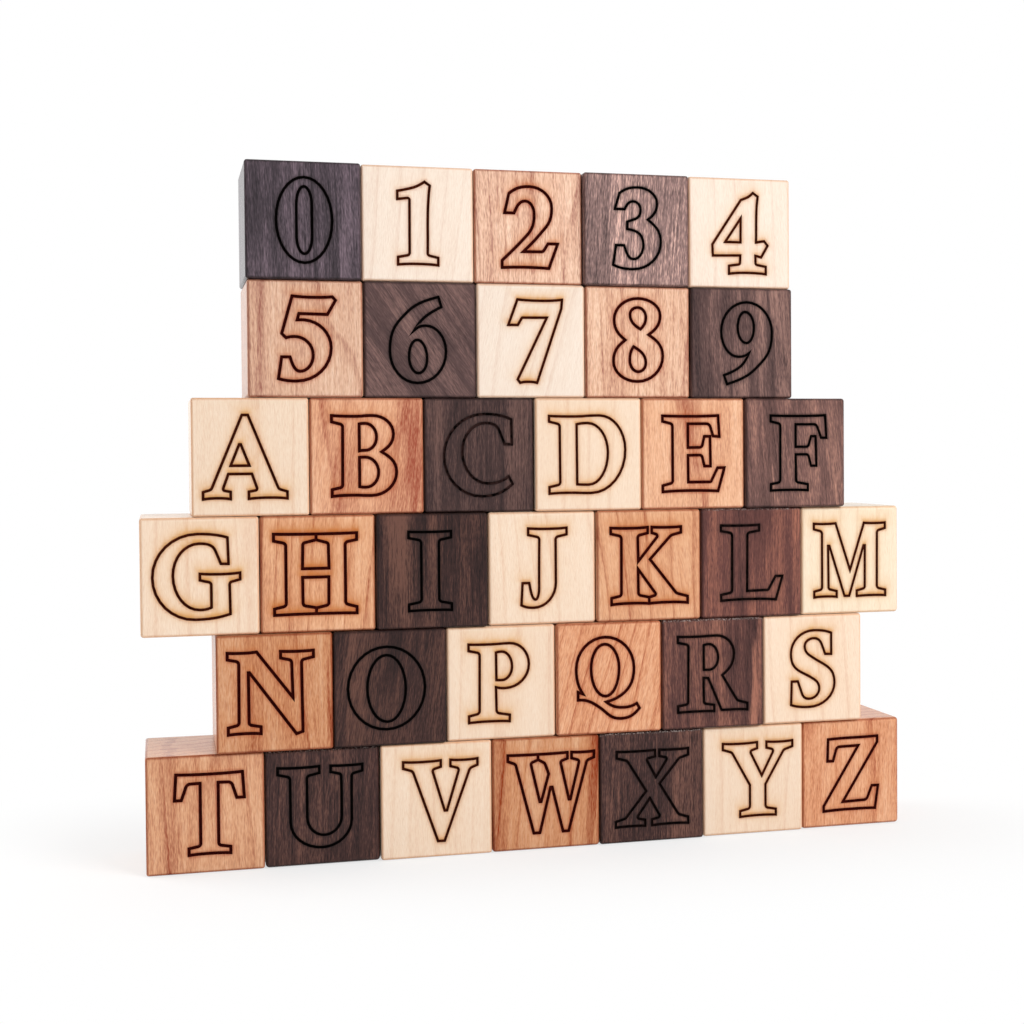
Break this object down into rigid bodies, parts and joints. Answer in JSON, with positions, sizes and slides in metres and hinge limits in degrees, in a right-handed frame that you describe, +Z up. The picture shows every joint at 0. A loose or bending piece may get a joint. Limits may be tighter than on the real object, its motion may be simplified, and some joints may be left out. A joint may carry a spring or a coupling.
{
  "type": "alphabet block set",
  "caption": "Set of solid hardwood alphabet and number blocks in three woods, with eased edges and an engraved outline mark on each face, stacked dry as a stepped wall.",
  "frame": {"origin": "on the floor under the middle of the wall's box, so Z = 0 is the plane the bottom course stands on", "axes": "+X to the right along the courses as the marks are read, +Z up, +Y from the marked faces to the back"},
  "size_m": [0.3074, 0.0474, 0.2675],
  "materials": {
    "walnut": "sanded and oiled, satin",
    "maple": "sanded and oiled, satin",
    "cherry": "sanded and oiled, satin"
  },
  "bodies": {
    "block_t": {"block_t": "cherry"},
    "block_u": {"block_u": "walnut"},
    "block_v": {"block_v": "maple"},
    "block_w": {"block_w": "cherry"},
    "block_x": {"block_x": "walnut"},
    "block_y": {"block_y": "maple"},
    "block_z": {"block_z": "cherry"},
    "block_n": {"block_n": "cherry"},
    "block_o": {"block_o": "walnut"},
    "block_p": {"block_p": "maple"},
    "block_q": {"block_q": "cherry"},
    "block_r": {"block_r": "walnut"},
    "block_s": {"block_s": "maple"},
    "block_g": {"block_g": "maple"},
    "block_h": {"block_h": "cherry"},
    "block_i": {"block_i": "walnut"},
    "block_j": {"block_j": "maple"},
    "block_k": {"block_k": "cherry"},
    "block_l": {"block_l": "walnut"},
    "block_m": {"block_m": "maple"},
    "block_a": {"block_a": "maple"},
    "block_b": {"block_b": "cherry"},
    "block_c": {"block_c": "walnut"},
    "block_d": {"block_d": "maple"},
    "block_e": {"block_e": "cherry"},
    "block_f": {"block_f": "walnut"},
    "block_5": {"block_5": "cherry"},
    "block_6": {"block_6": "walnut"},
    "block_7": {"block_7": "maple"},
    "block_8": {"block_8": "cherry"},
    "block_9": {"block_9": "walnut"},
    "block_0": {"block_0": "walnut"},
    "block_1": {"block_1": "maple"},
    "block_2": {"block_2": "cherry"},
    "block_3": {"block_3": "walnut"},
    "block_4": {"block_4": "maple"}
  },
  "joints": [
    {"name": "lift_0", "type": "slide", "parent": "block_w", "child": "block_0", "axis": [0, 0, 1], "range_m": [0, 0.06]},
    {"name": "lift_1", "type": "slide", "parent": "block_w", "child": "block_1", "axis": [0, 0, 1], "range_m": [0, 0.06]},
    {"name": "lift_2", "type": "slide", "parent": "block_w", "child": "block_2", "axis": [0, 0, 1], "range_m": [0, 0.06]},
    {"name": "lift_3", "type": "slide", "parent": "block_w", "child": "block_3", "axis": [0, 0, 1], "range_m": [0, 0.06]},
    {"name": "lift_4", "type": "slide", "parent": "block_w", "child": "block_4", "axis": [0, 0, 1], "range_m": [0, 0.06]},
    {"name": "pull_5", "type": "slide", "parent": "block_w", "child": "block_5", "axis": [0, -1, 0], "range_m": [0, 0.06]},
    {"name": "pull_6", "type": "slide", "parent": "block_w", "child": "block_6", "axis": [0, -1, 0], "range_m": [0, 0.06]},
    {"name": "pull_7", "type": "slide", "parent": "block_w", "child": "block_7", "axis": [0, -1, 0], "range_m": [0, 0.06]},
    {"name": "pull_8", "type": "slide", "parent": "block_w", "child": "block_8", "axis": [0, -1, 0], "range_m": [0, 0.06]},
    {"name": "pull_9", "type": "slide", "parent": "block_w", "child": "block_9", "axis": [0, -1, 0], "range_m": [0, 0.06]},
    {"name": "pull_a", "type": "slide", "parent": "block_w", "child": "block_a", "axis": [0, -1, 0], "range_m": [0, 0.06]},
    {"name": "pull_b", "type": "slide", "parent": "block_w", "child": "block_b", "axis": [0, -1, 0], "range_m": [0, 0.06]},
    {"name": "pull_c", "type": "slide", "parent": "block_w", "child": "block_c", "axis": [0, -1, 0], "range_m": [0, 0.06]},
    {"name": "pull_d", "type": "slide", "parent": "block_w", "child": "block_d", "axis": [0, -1, 0], "range_m": [0, 0.06]},
    {"name": "pull_e", "type": "slide", "parent": "block_w", "child": "block_e", "axis": [0, -1, 0], "range_m": [0, 0.06]},
    {"name": "pull_f", "type": "slide", "parent": "block_w", "child": "block_f", "axis": [0, -1, 0], "range_m": [0, 0.06]},
    {"name": "pull_g", "type": "slide", "parent": "block_w", "child": "block_g", "axis": [0, -1, 0], "range_m": [0, 0.06]},
    {"name": "pull_h", "type": "slide", "parent": "block_w", "child": "block_h", "axis": [0, -1, 0], "range_m": [0, 0.06]},
    {"name": "pull_i", "type": "slide", "parent": "block_w", "child": "block_i", "axis": [0, -1, 0], "range_m": [0, 0.06]},
    {"name": "pull_j", "type": "slide", "parent": "block_w", "child": "block_j", "axis": [0, -1, 0], "range_m": [0, 0.06]},
    {"name": "pull_k", "type": "slide", "parent": "block_w", "child": "block_k", "axis": [0, -1, 0], "range_m": [0, 0.06]},
    {"name": "pull_l", "type": "slide", "parent": "block_w", "child": "block_l", "axis": [0, -1, 0], "range_m": [0, 0.06]},
    {"name": "pull_m", "type": "slide", "parent": "block_w", "child": "block_m", "axis": [0, -1, 0], "range_m": [0, 0.06]},
    {"name": "pull_n", "type": "slide", "parent": "block_w", "child": "block_n", "axis": [0, -1, 0], "range_m": [0, 0.06]},
    {"name": "pull_o", "type": "slide", "parent": "block_w", "child": "block_o", "axis": [0, -1, 0], "range_m": [0, 0.06]},
    {"name": "pull_p", "type": "slide", "parent": "block_w", "child": "block_p", "axis": [0, -1, 0], "range_m": [0, 0.06]},
    {"name": "pull_q", "type": "slide", "parent": "block_w", "child": "block_q", "axis": [0, -1, 0], "range_m": [0, 0.06]},
    {"name": "pull_r", "type": "slide", "parent": "block_w", "child": "block_r", "axis": [0, -1, 0], "range_m": [0, 0.06]},
    {"name": "pull_s", "type": "slide", "parent": "block_w", "child": "block_s", "axis": [0, -1, 0], "range_m": [0, 0.06]},
    {"name": "pull_t", "type": "slide", "parent": "block_w", "child": "block_t", "axis": [0, -1, 0], "range_m": [0, 0.06]},
    {"name": "pull_u", "type": "slide", "parent": "block_w", "child": "block_u", "axis": [0, -1, 0], "range_m": [0, 0.06]},
    {"name": "pull_v", "type": "slide", "parent": "block_w", "child": "block_v", "axis": [0, -1, 0], "range_m": [0, 0.06]},
    {"name": "pull_x", "type": "slide", "parent": "block_w", "child": "block_x", "axis": [0, -1, 0], "range_m": [0, 0.06]},
    {"name": "pull_y", "type": "slide", "parent": "block_w", "child": "block_y", "axis": [0, -1, 0], "range_m": [0, 0.06]},
    {"name": "pull_z", "type": "slide", "parent": "block_w", "child": "block_z", "axis": [0, -1, 0], "range_m": [0, 0.06]}
  ]
}
